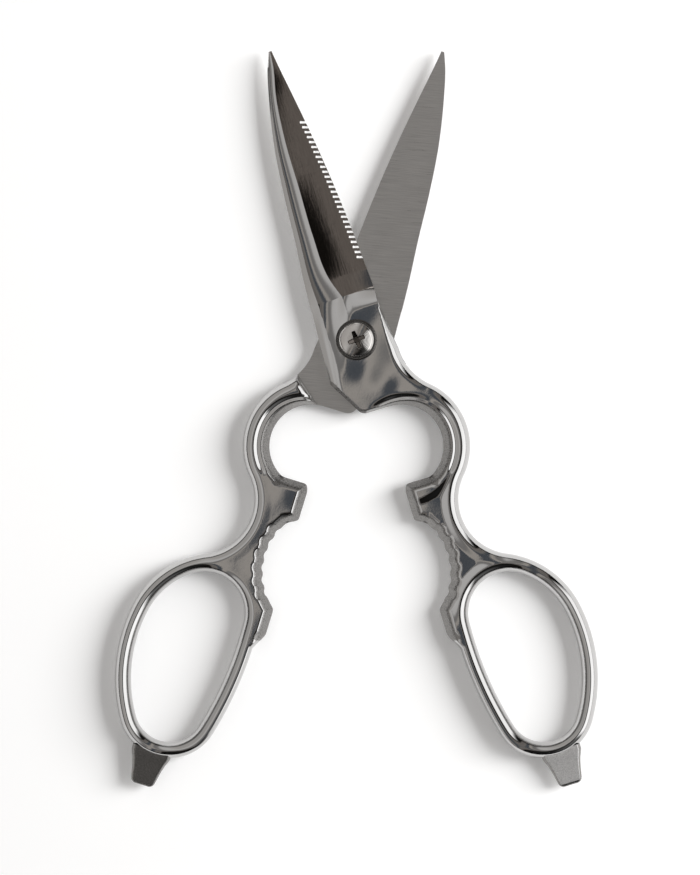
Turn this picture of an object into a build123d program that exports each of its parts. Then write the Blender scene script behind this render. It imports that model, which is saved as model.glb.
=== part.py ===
"""Kitchen shears: two drop-forged halves, each a blade, a cap jaw, a nut grip and a finger ring
in one piece of stainless steel, turning on a recessed screw with a thrust washer and a lock nut.

A half is drawn closed, in its own frame: the pivot at the origin, +Y up the blade, and the
mating plane at Z = 0 with the blade above it. It is then placed at its opening at rest.
"""

import os
from math import cos, radians, sin, sqrt, tan

from build123d import *

os.makedirs("parts", exist_ok=True)

# Whole tool
open_half_angle = 17.0
forging_height = 3.5
blade_gap = 0.1
closed_gap = 0.3
overrun = 2.0
touch = 0.01

# Blade, from the pivot to the tip
blade_length = 79.8
blade_half_width = 10.0
blade_root_height = 2.6
blade_tip_height = 1.0
edge_land = 0.3
flank_drop = 1.0
flank_share = 0.25
flank_rise_share = 0.85
flute_sag_share = 0.055
hollow_share = 0.022
heel_length = 12.0
ramp_spine_length = 2.0
ramp_edge_length = 5.6
crest_fall = 0.05
# Stations up the blade: share of the way from the heel to the tip, then edge, ridge and spine as
# shares of the half width
blade_station_shares = (
    (0.000, 0.850, -0.030, -0.920),
    (0.082, 0.815, -0.220, -0.890),
    (0.266, 0.730, -0.300, -0.790),
    (0.457, 0.610, -0.280, -0.710),
    (0.647, 0.450, -0.265, -0.575),
    (0.826, 0.265, -0.150, -0.345),
    (0.941, 0.140, 0.010, -0.145),
    (1.000, 0.085, 0.045, 0.005),
)

# Fine teeth ground across the front blade's edge
tooth_count = 28
tooth_pitch = 1.426
tooth_length = 1.4
tooth_width = 0.6
tooth_floor = 0.2
tooth_start = 20.6
tooth_slant = 17.0

# Ricasso, the wide root of the blade round the pivot
heel_corner_x = -10.0
heel_corner_y = -9.4
foot_across = -4.3
foot_round = 2.6
heel_chamfer = 0.9
spine_round = 1.1
flare_radius = 15.2
flute_radius = 4.0
flute_depth = 0.4
flute_top_x = -6.5
flute_top_y = 14.0
flute_foot_x = -8.6
flute_foot_y = -11.0

# Cap jaw, the round hook under the ricasso
jaw_centre_x = 3.2
jaw_centre_y = -30.4
jaw_radius = 11.1
jaw_bar_width = 7.1
neck_radius = 14.6
draft_width = 2.0
draft_height = 2.9
rail_round = 2.2
valley_offset = 3.1
valley_radius = 0.9
valley_depth = 0.45
valley_start_angle = 72.0
valley_end_angle = -44.0

# Jaw tooth and the scalloped nut grip below it
jaw_tooth_top = -40.3
jaw_tooth_point = -42.0
jaw_tooth_bottom = -50.2
jaw_tooth_set_back = 0.7
grip_top_x = 3.4
grip_top_y = -51.6
grip_middle_x = 6.4
grip_middle_y = -61.6
grip_bottom_x = 1.0
grip_bottom_y = -73.8
bump_top = -74.6
bump_bottom = -81.8
ring_meets_grip = -86.2
scallop_count = 6
scallop_radius = 1.9
scallop_depth = 0.4
scallop_span_share = 0.84

# Finger ring, an egg whose outline is five arcs, each tangent to the next
ring_top_centre_x = 17.6
ring_top_centre_y = -80.8
ring_top_radius = 10.8
ring_shoulder_radius = 20.9
ring_shoulder_angle = 52.0
ring_side_radius = 38.5
ring_end_centre_x = 18.9
ring_end_centre_y = -107.5
ring_end_radius = 9.2
ring_inner_radius = 97.4
ring_bar_width = 4.3
ring_round = 1.9

# Sunk panel between the rail, the lip of the grip and the ring
panel_depth = 1.1
panel_slope_share = 0.5
panel_tooth_border = 5.0
panel_jaw_border = 4.6
panel_rail_border = 2.8
panel_ring_border = 3.6
panel_grip_border = 3.1

# Shoulder where the full thickness of the handle begins
shoulder_outer_x = 13.2
shoulder_outer_y = -12.4
shoulder_inner_x = 4.4
shoulder_inner_y = -19.9

# Screwdriver tip on the end of the ring
driver_tip_x = 20.0
driver_tip_y = -129.3
driver_tip_width = 6.3
driver_waist_width = 8.6
driver_root_width = 10.6
driver_tip_bevel = 0.8
driver_waist_length = 5.4
driver_root_length = 10.0
driver_waist_height = 2.6
driver_tip_height = 1.4
driver_root_height = 4.8

# Pivot screw
screw_journal_radius = 3.0
screw_thread_radius = 2.5
screw_head_radius = 4.65
screw_rim_height = 1.5
screw_dome_height = 1.3
cross_width = 1.1
cross_length = 4.9
cross_depth = 1.7
cross_draft = 8.0
cross_turn = 22.0
journal_clearance = 0.05
thread_clearance = 0.02
thread_chamfer = 0.4

# Thrust washer under the screw's head, and the head's recess
head_recess_radius = 5.05
head_recess_depth = 1.7
recess_chamfer = 0.4
washer_radius = 4.7
washer_thickness = 0.5

# Lock nut in the rear half
nut_flats = 8.0
nut_height = 1.9
nut_chamfer = 0.3
nut_recess_radius = 5.05
nut_recess_depth = 2.0

# Each half's own frame in the whole tool: the rear half is the same forging turned over
mating_height = forging_height
opening = Vector(cos(radians(open_half_angle)), sin(radians(open_half_angle)))
front_frame = Plane(origin=(0, 0, mating_height), x_dir=(opening.X, opening.Y, 0), z_dir=(0, 0, 1))
rear_frame = Plane(origin=(0, 0, mating_height), x_dir=(-opening.X, opening.Y, 0), z_dir=(0, 0, -1))


def meet(centre_a, reach_a, centre_b, reach_b, side):
    """The point reach_a from centre_a and reach_b from centre_b, on one side of their line."""
    across = centre_b - centre_a
    along = (across.length**2 + reach_a**2 - reach_b**2) / (2 * across.length)
    out = sqrt(reach_a**2 - along**2)
    unit = across.normalized()
    return centre_a + unit * along + Vector(-unit.Y, unit.X) * (side * out)


def toward(centre, point, reach):
    """The point reach from centre, in the direction of point."""
    return centre + (point - centre).normalized() * reach


def arc_about(centre, start, end):
    """The shorter arc about centre, from start to the direction of end."""
    reach = (start - centre).length
    return ThreePointArc(start, toward(centre, (start + end) / 2, reach), toward(centre, end, reach))


# Points of the plan
heel_corner = Vector(heel_corner_x, heel_corner_y)
flute_top = Vector(flute_top_x, flute_top_y)
flute_foot = Vector(flute_foot_x, flute_foot_y)
jaw_centre = Vector(jaw_centre_x, jaw_centre_y)
grip_top = Vector(grip_top_x, grip_top_y)
grip_middle = Vector(grip_middle_x, grip_middle_y)
grip_bottom = Vector(grip_bottom_x, grip_bottom_y)
ring_top_centre = Vector(ring_top_centre_x, ring_top_centre_y)
ring_end_centre = Vector(ring_end_centre_x, ring_end_centre_y)
shoulder_outer = Vector(shoulder_outer_x, shoulder_outer_y)
shoulder_inner = Vector(shoulder_inner_x, shoulder_inner_y)
driver_tip = Vector(driver_tip_x, driver_tip_y)

# Centres of the arcs that run tangent into their neighbours
jaw_outer_radius = jaw_radius + jaw_bar_width
ring_shoulder_reach = Vector(ring_shoulder_radius - ring_top_radius, 0)
ring_shoulder_centre = ring_top_centre - ring_shoulder_reach.rotate(Axis.Z, ring_shoulder_angle)
ring_side_centre = meet(
    ring_shoulder_centre,
    ring_side_radius - ring_shoulder_radius,
    ring_end_centre,
    ring_side_radius - ring_end_radius,
    -1,
)
ring_inner_centre = meet(
    ring_top_centre,
    ring_inner_radius - ring_top_radius,
    ring_end_centre,
    ring_inner_radius - ring_end_radius,
    1,
)
neck_centre = meet(
    jaw_centre,
    jaw_outer_radius + neck_radius,
    ring_shoulder_centre,
    ring_shoulder_radius + ring_bar_width + neck_radius,
    1,
)
flare_reach = jaw_outer_radius + flare_radius
flare_across = blade_half_width + flare_radius - jaw_centre.X
flare_centre = jaw_centre + Vector(flare_across, sqrt(flare_reach**2 - flare_across**2))
heel_edge_across = blade_half_width * blade_station_shares[0][1]
heel_spine_across = blade_half_width * blade_station_shares[0][3]
heel_edge = Vector(heel_edge_across, heel_length - ramp_edge_length)
heel_spine = Vector(heel_spine_across, heel_length - ramp_spine_length)


def ring_corners(growth):
    """Where the five arcs of the finger hole's outline meet, the outline grown by growth."""
    return [
        toward(small, small * 2 - large, radius + growth)
        for small, radius, large in (
            (ring_top_centre, ring_top_radius, ring_inner_centre),
            (ring_top_centre, ring_top_radius, ring_shoulder_centre),
            (ring_shoulder_centre, ring_shoulder_radius, ring_side_centre),
            (ring_end_centre, ring_end_radius, ring_side_centre),
            (ring_end_centre, ring_end_radius, ring_inner_centre),
        )
    ]


# Plan of one half: the smooth outer side, from the cutting edge's heel round the ring to the bump
corners = ring_corners(ring_bar_width)
flare_start = Vector(blade_half_width, flare_centre.Y)
flare_end = toward(jaw_centre, flare_centre, jaw_outer_radius)
neck_start = toward(jaw_centre, neck_centre, jaw_outer_radius)
neck_end = toward(neck_centre, ring_shoulder_centre, neck_radius)
ring_foot = ring_end_centre - Vector(0, ring_end_radius + ring_bar_width)
meet_drop = ring_meets_grip - ring_inner_centre.Y
meet_across = sqrt((ring_inner_radius + ring_bar_width) ** 2 - meet_drop**2)
ring_end = Vector(ring_inner_centre.X - meet_across, ring_meets_grip)
with BuildLine() as rail_line:
    Line(heel_edge, flare_start)
    arc_about(flare_centre, flare_start, jaw_centre)
    ThreePointArc(flare_end, jaw_centre + Vector(jaw_outer_radius, 0), neck_start)
    arc_about(neck_centre, neck_start, ring_shoulder_centre)
    arc_about(ring_shoulder_centre, neck_end, corners[2])
    arc_about(ring_side_centre, corners[2], corners[3])
    ThreePointArc(corners[3], ring_foot, corners[4])
    arc_about(ring_inner_centre, corners[4], ring_end)

# Plan of one half: the ground inner side, up the bump, the nut grip, the tooth and the jaw
tooth_drop = jaw_tooth_top - jaw_centre.Y
jaw_end = jaw_centre + Vector(sqrt(jaw_radius**2 - tooth_drop**2), tooth_drop)
jaw_start = jaw_centre + Vector(0, jaw_radius)
foot_corner = Vector(foot_across, jaw_start.Y)
with BuildLine() as grip_line:
    Polyline(ring_end, (closed_gap / 2, bump_bottom), (closed_gap / 2, bump_top), grip_bottom)
    ThreePointArc(grip_bottom, grip_middle, grip_top)
    Polyline(
        grip_top,
        (jaw_tooth_set_back, jaw_tooth_bottom),
        (jaw_tooth_set_back, jaw_tooth_point),
        (jaw_tooth_set_back * 2, jaw_tooth_top),
        jaw_end,
    )
    ThreePointArc(jaw_end, jaw_centre + Vector(jaw_radius, 0), jaw_start)
    Line(jaw_start, foot_corner)

# Plan of one half: the heel of the ricasso and its back
with BuildLine() as heel_line:
    Line(foot_corner, heel_corner)
with BuildLine() as back_line:
    Line(heel_corner, heel_spine)
with BuildLine() as plunge_line:
    Line(heel_spine, heel_edge)


with BuildLine() as hole_line:
    hole = ring_corners(0)
    arc_about(ring_top_centre, hole[0], hole[1])
    arc_about(ring_shoulder_centre, hole[1], hole[2])
    arc_about(ring_side_centre, hole[2], hole[3])
    ThreePointArc(hole[3], ring_end_centre - Vector(0, ring_end_radius), hole[4])
    arc_about(ring_inner_centre, hole[4], hole[0])


with BuildLine() as grip_band:
    ThreePointArc(grip_bottom, grip_middle, grip_top)
band_centre = (grip_band.edge()).arc_center
band_radius = (grip_band.edge()).radius


def standing_over(edges, plan):
    """The edges that stand straight over the lines of a plan."""
    return edges.filter_by(
        lambda edge: plan.line.distance_to(Vertex((edge @ 0.5).X, (edge @ 0.5).Y, 0)) < touch
    )


def section_plane(station):
    """The plane across the blade at a station, its sketch's Y being height."""
    return Plane(origin=(0, station, 0), x_dir=(1, 0, 0), z_dir=(0, -1, 0))


def blade_section(share, edge_share, ridge_share, spine_share):
    """One section of the blade: flat inside, fluted spine, crest, hollow-ground bevel and land."""
    height = blade_root_height + (blade_tip_height - blade_root_height) * share
    size = height / blade_root_height
    edge = Vector(blade_half_width * edge_share, edge_land * size)
    ridge = Vector(blade_half_width * ridge_share, height)
    spine = Vector(blade_half_width * spine_share, height - flank_drop * size)
    flank = spine + Vector((ridge.X - spine.X) * flank_share, flank_drop * size * flank_rise_share)
    flute = (flank + ridge) / 2 - Vector(0, (ridge.X - flank.X) * flute_sag_share)
    hollow = (ridge + edge) / 2 - Vector(1, 1) * ((edge.X - ridge.X) * hollow_share)
    inside = blade_gap / 2
    with BuildSketch(section_plane(heel_length + (blade_length - heel_length) * share)) as section:
        with BuildLine():
            Polyline((edge.X, inside), (spine.X, inside), spine, flank)
            ThreePointArc(flank, flute, ridge)
            ThreePointArc(ridge, hollow, edge)
            Line(edge, (edge.X, inside))
        make_face()
    return section.sketch


def heel_section():
    """The full section of the ricasso, along the slanted line where the bevel's ramp ends."""
    slant = (heel_edge - heel_spine).normalized()
    width = (heel_edge - heel_spine).length
    crest = (blade_half_width * blade_station_shares[0][2] - heel_spine.X) / slant.X
    inside = blade_gap / 2
    with BuildSketch(Plane(heel_spine, x_dir=slant, z_dir=(slant.Y, -slant.X, 0))) as section:
        with BuildLine():
            Polyline(
                (width, inside),
                (0, inside),
                (0, forging_height - spine_round),
                (spine_round, forging_height - crest_fall),
                (crest, forging_height),
                (width, forging_height),
                close=True,
            )
        make_face()
    return section.sketch


def sink_panel():
    """The space of the sunk panel: what four borders, each spreading towards the floor, leave."""
    height = panel_depth + overrun
    tooth_side = jaw_tooth_set_back + panel_tooth_border
    with BuildPart() as space:
        with BuildSketch(Plane.XY.offset(forging_height - panel_depth)):
            with BuildLine():
                Polyline(
                    neck_centre,
                    (tooth_side, jaw_centre.Y),
                    (tooth_side, ring_top_centre.Y),
                    ring_top_centre,
                    close=True,
                )
            make_face()
        extrude(amount=height)
        for centre, radius in (
            (neck_centre, neck_radius + panel_rail_border),
            (jaw_centre, jaw_radius + panel_jaw_border),
            (band_centre, band_radius + panel_grip_border),
            (ring_top_centre, ring_top_radius + panel_ring_border),
        ):
            foot = radius + panel_depth * panel_slope_share
            with Locations((centre.X, centre.Y, forging_height - panel_depth)):
                Cone(
                    foot,
                    foot - height * panel_slope_share,
                    height,
                    align=(Align.CENTER, Align.CENTER, Align.MIN),
                    mode=Mode.SUBTRACT,
                )
    return space.part


def edge_across(station):
    """How far the cutting edge lies from the blade's middle line at a station."""
    share = (station - heel_length) / (blade_length - heel_length)
    for near, far in zip(blade_station_shares, blade_station_shares[1:]):
        if share <= far[0]:
            part_way = (share - near[0]) / (far[0] - near[0])
            return blade_half_width * (near[1] + (far[1] - near[1]) * part_way)
    return blade_half_width * blade_station_shares[-1][1]


def forge_half(bore_radius, seat_radius, seat_depth):
    """One half of the shears, closed: handle and ricasso, then the blade and the pivot's seat."""
    top = Plane.XY.offset(forging_height)
    with BuildPart() as half:
        # Handle and ricasso on one side of the mating plane
        with BuildSketch():
            with BuildLine():
                for plan in (rail_line, grip_line, heel_line, back_line, plunge_line):
                    add(plan.line)
            make_face()
            with BuildLine():
                add(hole_line.line)
            make_face(mode=Mode.SUBTRACT)
        extrude(amount=forging_height)

        # Inner side ground at a draft from the parting line, the other sides rounded
        top_edges = half.edges().group_by(Axis.Z)[-1]
        chamfer(standing_over(top_edges, grip_line), draft_height, draft_width)
        top_edges = half.edges().group_by(Axis.Z)[-1]
        fillet(standing_over(top_edges, rail_line), rail_round)
        top_edges = half.edges().group_by(Axis.Z)[-1]
        fillet(standing_over(top_edges, hole_line), ring_round)
        top_edges = half.edges().group_by(Axis.Z)[-1]
        chamfer(standing_over(top_edges, heel_line), heel_chamfer)
        top_edges = half.edges().group_by(Axis.Z)[-1]
        chamfer(standing_over(top_edges, back_line), spine_round)

        # Round corner where the foot of the ricasso meets its heel
        into_foot = Vector(1, 0)
        up_heel = (heel_corner - foot_corner).normalized()
        half_corner = radians(into_foot.get_angle(up_heel)) / 2
        round_centre = foot_corner + (into_foot + up_heel).normalized() * (foot_round / sin(half_corner))
        setback = foot_round / tan(half_corner)
        with BuildSketch():
            with BuildLine():
                Line(foot_corner, foot_corner + into_foot * setback)
                arc_about(round_centre, foot_corner + into_foot * setback, foot_corner + up_heel * setback)
                Line(foot_corner + up_heel * setback, foot_corner)
            make_face()
        extrude(amount=forging_height, mode=Mode.SUBTRACT)

        # Scallops across the ground side of the grip, leaning with its draft
        for scallop in range(scallop_count):
            share = 0.5 + scallop_span_share * ((scallop + 0.5) / scallop_count - 0.5)
            inward = (grip_band.line @ share - band_centre).normalized()
            foot = grip_band.line @ share - inward * (scallop_radius - scallop_depth)
            foot += Vector(0, 0, forging_height - draft_height)
            lean = inward * draft_width + Vector(0, 0, draft_height)
            with Locations(Plane(foot, z_dir=lean)):
                Cylinder(scallop_radius, forging_height * 4, mode=Mode.SUBTRACT)

        # Panel sunk between the borders of the rail, the jaw, the grip and the ring
        add(sink_panel(), mode=Mode.SUBTRACT)

        # Groove between the jaw's lip and the rail
        groove_lift = forging_height - valley_depth + valley_radius
        groove_span = valley_end_angle - valley_start_angle
        with BuildLine(Plane.XY.offset(groove_lift)) as groove:
            CenterArc(jaw_centre, jaw_radius + valley_offset, valley_start_angle, groove_span)
        with BuildSketch(Plane(groove.line @ 0, z_dir=groove.line % 0)):
            Circle(valley_radius)
        sweep(path=groove.line, mode=Mode.SUBTRACT)
        with Locations(groove.line @ 0, groove.line @ 1):
            Sphere(valley_radius, mode=Mode.SUBTRACT)

        # The other side of the handle, and the step where it ends under the ricasso
        mirror(about=Plane.XY)
        along = (shoulder_outer - shoulder_inner).normalized() * blade_half_width
        with BuildSketch(Plane.XY.offset(blade_gap / 2)):
            with BuildLine():
                Polyline(
                    shoulder_outer + along,
                    shoulder_inner - along,
                    (-blade_half_width * 2, shoulder_inner.Y),
                    (-blade_half_width * 2, blade_length),
                    (blade_half_width * 2, blade_length),
                    close=True,
                )
            make_face()
        extrude(amount=-(forging_height * 2), mode=Mode.SUBTRACT)

        # Blade, and the ramp from its bevel up to the ricasso
        blade_sections = [blade_section(*shares) for shares in blade_station_shares]
        loft(blade_sections)
        loft([heel_section(), blade_sections[0]], ruled=True)

        # Flute along the back of the ricasso
        flute_lift = Vector(0, 0, forging_height - flute_depth + flute_radius)
        flute_middle = (flute_top + flute_foot) / 2 + flute_lift
        with Locations(Plane(flute_middle, z_dir=flute_top - flute_foot)):
            Cylinder(flute_radius, (flute_top - flute_foot).length, mode=Mode.SUBTRACT)

        # Screwdriver tip on the end of the ring
        driver_sections = []
        for length, width, height in (
            (0, driver_tip_width - driver_tip_bevel * 2, driver_tip_height),
            (driver_tip_bevel, driver_tip_width, driver_tip_height),
            (driver_waist_length, driver_waist_width, driver_waist_height),
            (driver_root_length, driver_root_width, driver_root_height),
        ):
            with BuildSketch(section_plane(driver_tip.Y + length)) as driver_section:
                with Locations((driver_tip.X, 0)):
                    Rectangle(width, height)
            driver_sections.append(driver_section.sketch)
        loft(driver_sections, ruled=True)

        # Bore and seat of the pivot
        with Locations(top):
            CounterBoreHole(bore_radius, seat_radius, seat_depth)
        seat_rim = half.edges().filter_by(GeomType.CIRCLE)
        seat_rim = seat_rim.filter_by(lambda edge: abs(edge.radius - seat_radius) < touch)
        chamfer(seat_rim.sort_by(Axis.Z)[-1], recess_chamfer)
    return half.part


def grind_teeth():
    """The row of short grooves ground across the edge of the front blade."""
    with BuildPart() as teeth:
        for tooth in range(tooth_count):
            station = tooth_start + tooth * tooth_pitch
            place = (edge_across(station), station, tooth_floor)
            with Locations(Location(place, (0, 0, -tooth_slant))):
                Box(
                    tooth_length * 2,
                    tooth_width,
                    blade_root_height,
                    align=(Align.CENTER, Align.CENTER, Align.MIN),
                )
    return teeth.part


# The two halves, each turned about the pivot to its opening at rest
with BuildPart() as front_half:
    add(forge_half(screw_journal_radius + journal_clearance, head_recess_radius, head_recess_depth))
    add(grind_teeth(), mode=Mode.SUBTRACT)
front_half.part = front_frame.location * front_half.part
front_half.part.label = "front_half"
export_step(front_half.part, "parts/front_half.step")

with BuildPart() as rear_half:
    add(forge_half(screw_thread_radius + thread_clearance, nut_recess_radius, nut_recess_depth))
rear_half.part = rear_frame.location * rear_half.part
rear_half.part.label = "rear_half"
export_step(rear_half.part, "parts/rear_half.step")

# Heights over the resting plane of what the pivot carries
washer_foot = mating_height + forging_height - head_recess_depth
head_foot = washer_foot + washer_thickness
journal_foot = mating_height - blade_gap / 2
nut_foot = nut_recess_depth - nut_height

# Pivot screw: pan head with a cross recess, journal for the front half, and the thread for the
# nut, which ends flush with the back of the rear half
with BuildPart() as pivot_screw:
    with BuildSketch(Plane.XZ):
        with BuildLine():
            Polyline(
                (0, 0),
                (screw_thread_radius - thread_chamfer, 0),
                (screw_thread_radius, thread_chamfer),
                (screw_thread_radius, journal_foot),
                (screw_journal_radius, journal_foot),
                (screw_journal_radius, head_foot),
                (screw_head_radius, head_foot),
                (screw_head_radius, head_foot + screw_rim_height),
            )
            head_top = head_foot + screw_rim_height + screw_dome_height
            RadiusArc(
                (screw_head_radius, head_foot + screw_rim_height),
                (0, head_top),
                -(screw_head_radius**2 + screw_dome_height**2) / (2 * screw_dome_height),
            )
            Line((0, head_top), (0, 0))
        make_face()
    revolve(axis=Axis.Z)
    with BuildSketch(Plane.XY.offset(head_top)):
        Rectangle(cross_length, cross_width, rotation=cross_turn)
        Rectangle(cross_width, cross_length, rotation=cross_turn)
    extrude(amount=-cross_depth, taper=cross_draft, mode=Mode.SUBTRACT)
pivot_screw.part.label = "pivot_screw"
export_step(pivot_screw.part, "parts/pivot_screw.step")

# Thrust washer between the screw's head and the floor of its recess
with BuildPart() as thrust_washer:
    with BuildSketch(Plane.XY.offset(washer_foot)):
        Circle(washer_radius)
        Circle(screw_journal_radius + journal_clearance, mode=Mode.SUBTRACT)
    extrude(amount=washer_thickness)
thrust_washer.part.label = "thrust_washer"
export_step(thrust_washer.part, "parts/thrust_washer.step")

# Lock nut, sunk in the back of the rear half
with BuildPart() as lock_nut:
    with BuildSketch(Plane.XY.offset(nut_foot)):
        RegularPolygon(nut_flats / 2, side_count=6, major_radius=False)
        Circle(screw_thread_radius + thread_clearance, mode=Mode.SUBTRACT)
    extrude(amount=nut_height)
    nut_corners = lock_nut.edges().filter_by(Axis.Z, reverse=True).filter_by(GeomType.LINE)
    chamfer(nut_corners.group_by(Axis.Z)[0], nut_chamfer)
lock_nut.part.label = "lock_nut"
export_step(lock_nut.part, "parts/lock_nut.step")
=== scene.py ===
from math import cos, pi, radians, sin, sqrt, tan

import bpy
import numpy as np
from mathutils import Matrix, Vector
from mathutils.geometry import delaunay_2d_cdt


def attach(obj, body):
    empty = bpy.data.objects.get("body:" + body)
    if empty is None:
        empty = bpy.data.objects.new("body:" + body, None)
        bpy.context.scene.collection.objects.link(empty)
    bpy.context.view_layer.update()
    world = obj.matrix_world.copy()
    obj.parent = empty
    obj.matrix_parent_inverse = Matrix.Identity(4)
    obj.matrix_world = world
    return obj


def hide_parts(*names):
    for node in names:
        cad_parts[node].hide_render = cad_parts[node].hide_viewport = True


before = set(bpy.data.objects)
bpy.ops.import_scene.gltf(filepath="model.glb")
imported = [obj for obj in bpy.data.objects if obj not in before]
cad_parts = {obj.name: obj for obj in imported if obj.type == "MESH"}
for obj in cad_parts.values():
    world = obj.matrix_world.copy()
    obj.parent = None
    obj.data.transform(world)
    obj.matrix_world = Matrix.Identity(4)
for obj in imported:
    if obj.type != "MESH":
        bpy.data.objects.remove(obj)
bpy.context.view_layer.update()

MM = 0.001

# Sizes of the source, in millimetres. A plan point of a closed half is a complex number, u + v j,
# with u across the shears, v up the blade and the pivot at zero. R is a radius and C a centre.
THICK = 3.5
INSIDE = 0.05
OPEN_HALF = radians(17.0)
BLADE_LENGTH = 79.8
HALF_WIDTH = 10.0
HEEL_LENGTH = 12.0
HEEL_TALL, TIP_TALL = 2.6, 1.0
EDGE_RUN, SPINE_RUN = 5.6, 2.0

# Stations of the blade: a share of its length, then its edge, ridge and spine in half widths
EDGE, RIDGE, SPINE = 1, 2, 3
STATION_SHARES = np.array([
    (0.000, 0.850, -0.030, -0.920),
    (0.082, 0.815, -0.220, -0.890),
    (0.266, 0.730, -0.300, -0.790),
    (0.457, 0.610, -0.280, -0.710),
    (0.647, 0.450, -0.265, -0.575),
    (0.826, 0.265, -0.150, -0.345),
    (0.941, 0.140, 0.010, -0.145),
    (1.000, 0.085, 0.045, 0.005),
])

# Ricasso, jaw, neck, ring, grip and seat
HEEL_CORNER = -10 - 9.4j
JAW = 3.2 - 30.4j
JAW_R = 11.1
JAW_BAR = 7.1
NECK_R = 14.6
FLARE_R = 15.2
RING_TOP = 17.6 - 80.8j
RING_TOP_R = 10.8
SHOULDER_R = 20.9
SHOULDER_TURN = radians(52.0)
SIDE_R = 38.5
RING_END = 18.9 - 107.5j
RING_END_R = 9.2
INNER_R = 97.4
RING_BAR = 4.3
RAIL_END = -86.2
BUMP_LOW, BUMP_TOP = 0.15 - 81.8j, 0.15 - 74.6j
GRIP_LOW, GRIP_MID, GRIP_TOP = 1.0 - 73.8j, 6.4 - 61.6j, 3.4 - 51.6j
TOOTH_LOW, TOOTH_TOP, TOOTH_CORNER = 0.7 - 50.2j, 0.7 - 42.0j, 1.4 - 40.3j
FOOT_U, FOOT_R = -4.3, 2.6
SHOULDER_OUT = 13.2 - 12.4j
SHOULDER_IN = 4.4 - 19.9j
SHOULDER_RUN = (SHOULDER_OUT - SHOULDER_IN) / abs(SHOULDER_OUT - SHOULDER_IN)
SHOULDER_UP = 1j * SHOULDER_RUN
SEAT_R = 5.05
SEAT_DEPTH = {"front": 1.7, "rear": 2.0}
BORE_R = {"front": 3.05, "rear": 2.52}

# Scallops of the grip and notches of the front blade's edge
SCALLOPS = 6
SCALLOP_SPAN_SHARE = 0.84
SCALLOP_SHARES = [0.5 + SCALLOP_SPAN_SHARE * ((i + 0.5) / SCALLOPS - 0.5) for i in range(SCALLOPS)]
SCALLOP_R, SCALLOP_OUT, SCALLOP_GROWTH = 1.9, 1.5, 1.1
NOTCHES = 28
FIRST_NOTCH, NOTCH_STEP = 20.6, 1.426
NOTCH_HALF, NOTCH_REACH, NOTCH_FLOOR = 0.26, 1.4, 0.2

# Relief of the outer face. A pair whose name is a verb holds where a change starts and ends, along
# u or v or, round the jaw, in degrees. A blend is the height over which a crease is rounded.
RAIL_LIP, RING_LIP, JAW_LIP = 2.7, 2.6, 3.2
RAIL_POWER, RING_POWER, LIP_BLEND = 1.7, 1.38, 0.25
BLADE_ROUND, HANDLE_ROUND, GRIP_LESS_SHARE = 0.35, 2.6, 0.55
RAIL_WIDENS, RAIL_NARROWS_ACROSS, RAIL_NARROWS_DOWN = (9, -8), (15, 8), (-80, -84)
PANEL_DEPTH, PANEL_RISE = 0.42, 2.1
PANEL_BEGINS, PANEL_ENDS = (-31.5, -37.5), (-73, -81)
GROOVE_OUT, GROOVE_HALF, GROOVE_DEPTH = 0.95, 1.05, 0.62
GROOVE_BEGINS, GROOVE_ENDS = (118, 73), (-36, -50)
GROUND_NARROW, GROUND_GROWTH, GROUND_WIDENS = 0.55, 1.65, (100, 15)
GROUND_FOOT, GROUND_STEEP, GROUND_BLEND = 0.6, 2.9, 1.0
GRIP_END_GROWTH, GRIP_RISES = 3.4, (-80.6, -85.6)
GROUND_STOP, GROUND_CLEAR = -83.6, 1.2
HEEL_WALL, HEEL_BLEND = 2.6, 0.12
BACK_WALL, BACK_SLOPE, BACK_BLEND = 2.2, 0.9, 0.7
BACK_ROUND, BACK_PANEL_SHARE = 2.4, 0.05
RAMP_REACH, RAMP_GROWTH, RAMP_GENTLE_REACH = 4.7, 1.2, 15
RAMP_WIDENS, RAMP_SOFTENS = (3.5, -1.5), (1.5, -7.5)
RAMP_POWER, RAMP_TILT, RAMP_TILT_HALF, RAMP_STOP = 1.75, 0.35, 8, -10
CHANNEL_LOW, CHANNEL_TOP, CHANNEL_STOP = -8.6 - 11j, -6.5 + 14j, -12
CHANNEL_HALF, CHANNEL_DEPTH = 0.75, 0.22
DISHES = (
    (3.4 - 0.5j, 0.36, 60),
    (0.4 - 9.6j, 0.11, 13),
    (6.0 - 16.4j, 0.10, 9),
    (0.0 - 46j, 0.15, 12),
)
POLISH_DEPTH, POLISH_CREST = 0.012, 2.1
FLANK_SHARE, FLUTE_SHARE = 0.25, 0.055
FLANK_DROP, EDGE_TALL_SHARE = 0.15, 0.3
BEVEL_FALL, BEVEL_LESS, BEVEL_EASES = 0.212, 0.027, (0.34, 0.54)
HOLLOW_SHARE, HOLLOW_HEEL_SHARE, HOLLOW_FADES = 0.004, 0.0105, (0.25, 0.5)
SEAT_EASE, SEAT_LIP, SEAT_SIDES = 0.4, 0.45, 120


def meet(ca, ra, cb, rb, side):
    """Where two circles cross, on one side of the line through their centres."""
    across = cb - ca
    length = abs(across)
    along = (length**2 + ra**2 - rb**2) / (2 * length)
    out = sqrt(ra**2 - along**2)
    unit = across / length
    return ca + unit * along + 1j * unit * side * out


def toward(centre, point, reach):
    return centre + (point - centre) / abs(point - centre) * reach


def circle_through(a, b, c):
    """Centre of the circle through three points."""
    w = (c - a) / (b - a)
    return a + (b - a) * (w - abs(w) ** 2) / (2j * w.imag)


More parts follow.
